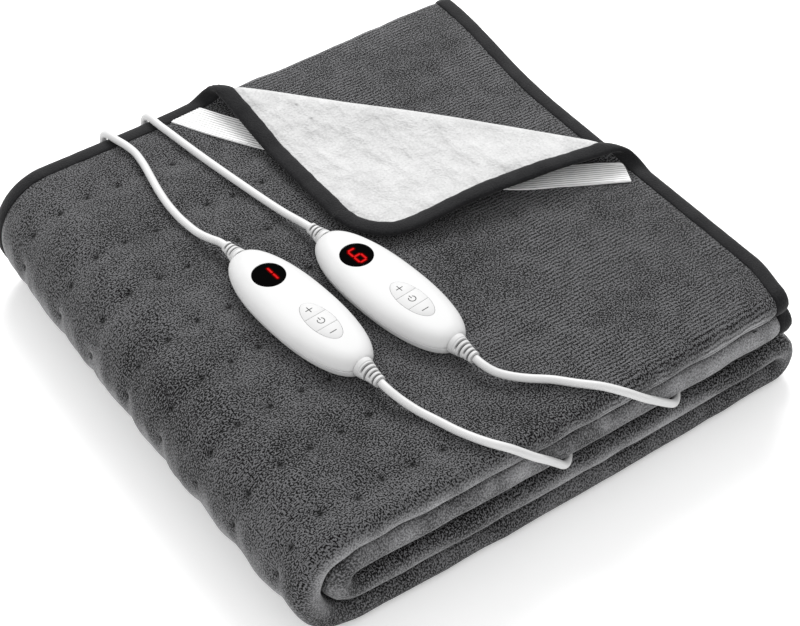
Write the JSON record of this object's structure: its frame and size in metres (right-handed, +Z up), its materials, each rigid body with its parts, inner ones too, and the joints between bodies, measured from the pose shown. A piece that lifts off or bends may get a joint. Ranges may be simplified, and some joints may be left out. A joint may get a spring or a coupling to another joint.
{
  "type": "electric blanket, folded",
  "caption": "Heated flannel blanket folded into a thick square pack with one corner turned back, an elastic corner strap, and corded hand controllers on top.",
  "frame": {"origin": "middle of the pack's footprint on the surface it rests on", "axes": "+Z up from the surface, +X towards the pack's right side, +Y towards the back with the bound edge"},
  "size_m": [0.4407, 0.4854, 0.1066],
  "materials": {
    "flannel": "short brushed flannel pile, matt, with a pale silvery sheen on the folds",
    "binding_tape": "smooth dark velour tape, matt",
    "elastic": "white woven elastic, finely ribbed along its length",
    "white_plastic": "glossy moulded plastic",
    "display_window": "polished black window",
    "cord": "smooth satin cord sheath",
    "pin_metal": "plated contact pins"
  },
  "bodies": {
    "folded_blanket": {"blanket": "flannel", "edge_binding": "binding_tape", "corner_strap": "elastic", "controller_1_lower_shell": "white_plastic", "controller_1_upper_shell": "white_plastic", "controller_1_display": "display_window", "controller_1_upper_relief": "white_plastic", "controller_1_lower_relief": "white_plastic", "control_lead_1": "cord", "lead_entry_1": "white_plastic", "mains_lead_1": "cord", "mains_coil_1": "cord", "mains_tail_1": "cord", "plug_1_body": "white_plastic", "plug_1_pin_1": "pin_metal", "plug_1_pin_2": "pin_metal", "controller_2_lower_shell": "white_plastic", "controller_2_upper_shell": "white_plastic", "controller_2_display": "display_window", "controller_2_upper_relief": "white_plastic", "controller_2_lower_relief": "white_plastic", "control_lead_2": "cord", "lead_entry_2": "white_plastic", "mains_lead_2": "cord", "mains_coil_2": "cord", "mains_tail_2": "cord", "plug_2_body": "white_plastic", "plug_2_pin_1": "pin_metal", "plug_2_pin_2": "pin_metal"},
    "key_body_1_plus": {"controller_1_key_plus": "white_plastic"},
    "key_body_1_power": {"controller_1_key_power": "white_plastic"},
    "key_body_1_minus": {"controller_1_key_minus": "white_plastic"},
    "key_body_2_plus": {"controller_2_key_plus": "white_plastic"},
    "key_body_2_power": {"controller_2_key_power": "white_plastic"},
    "key_body_2_minus": {"controller_2_key_minus": "white_plastic"}
  },
  "joints": [
    {"name": "controller_1_press_plus", "type": "slide", "parent": "folded_blanket", "child": "key_body_1_plus", "axis": [0, 0, -1], "range_m": [0, 0.0007], "stiffness_N_per_m": 2500, "springref_m": -0.0003},
    {"name": "controller_1_press_power", "type": "slide", "parent": "folded_blanket", "child": "key_body_1_power", "axis": [0, 0, -1], "range_m": [0, 0.0007], "stiffness_N_per_m": 2500, "springref_m": -0.0003},
    {"name": "controller_1_press_minus", "type": "slide", "parent": "folded_blanket", "child": "key_body_1_minus", "axis": [0, 0, -1], "range_m": [0, 0.0007], "stiffness_N_per_m": 2500, "springref_m": -0.0003},
    {"name": "controller_2_press_plus", "type": "slide", "parent": "folded_blanket", "child": "key_body_2_plus", "axis": [0, 0, -1], "range_m": [0, 0.0007], "stiffness_N_per_m": 2500, "springref_m": -0.0003},
    {"name": "controller_2_press_power", "type": "slide", "parent": "folded_blanket", "child": "key_body_2_power", "axis": [0, 0, -1], "range_m": [0, 0.0007], "stiffness_N_per_m": 2500, "springref_m": -0.0003},
    {"name": "controller_2_press_minus", "type": "slide", "parent": "folded_blanket", "child": "key_body_2_minus", "axis": [0, 0, -1], "range_m": [0, 0.0007], "stiffness_N_per_m": 2500, "springref_m": -0.0003}
  ]
}
